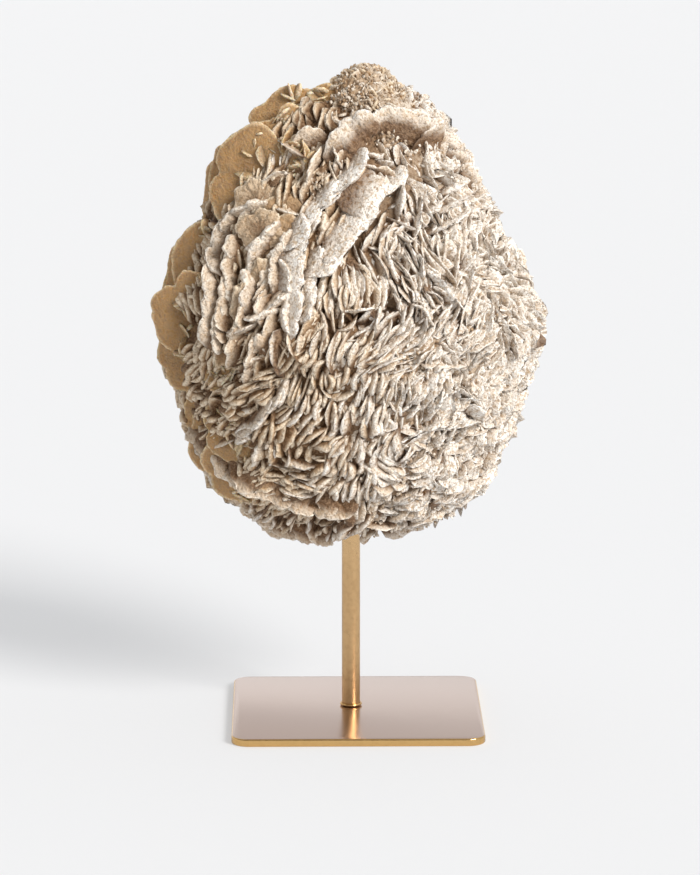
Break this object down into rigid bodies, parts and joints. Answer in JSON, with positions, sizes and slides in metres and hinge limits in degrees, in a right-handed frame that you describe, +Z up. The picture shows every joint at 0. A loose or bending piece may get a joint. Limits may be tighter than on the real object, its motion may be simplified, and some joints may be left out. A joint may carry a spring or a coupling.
{
  "type": "gypsum sand rose on a display stand",
  "caption": "Egg-shaped gypsum sand rose of crowded lens-shaped blades, held upright on a slim gilt post over a square brass plate.",
  "frame": {"origin": "centre of the base plate's underside", "axes": "+Z up along the post, -Y out of the rose's front, X along the plate's front edge"},
  "size_m": [0.1997, 0.1564, 0.334],
  "materials": {
    "gypsum_sand": "matt, sandy gypsum blades with pale frosted rims, smoother amber plates along the left rim",
    "gilt_post": "gilded round rod, satin with a patchy leafed surface near its foot",
    "braze": "small smooth fillet, gilded over",
    "gilt_plate": "polished rose-gold face that blurs reflections, rougher gilt edge"
  },
  "bodies": {
    "root": {"sand_rose": "gypsum_sand", "post": "gilt_post", "foot_bead": "braze", "base_plate": "gilt_plate"}
  },
  "joints": []
}
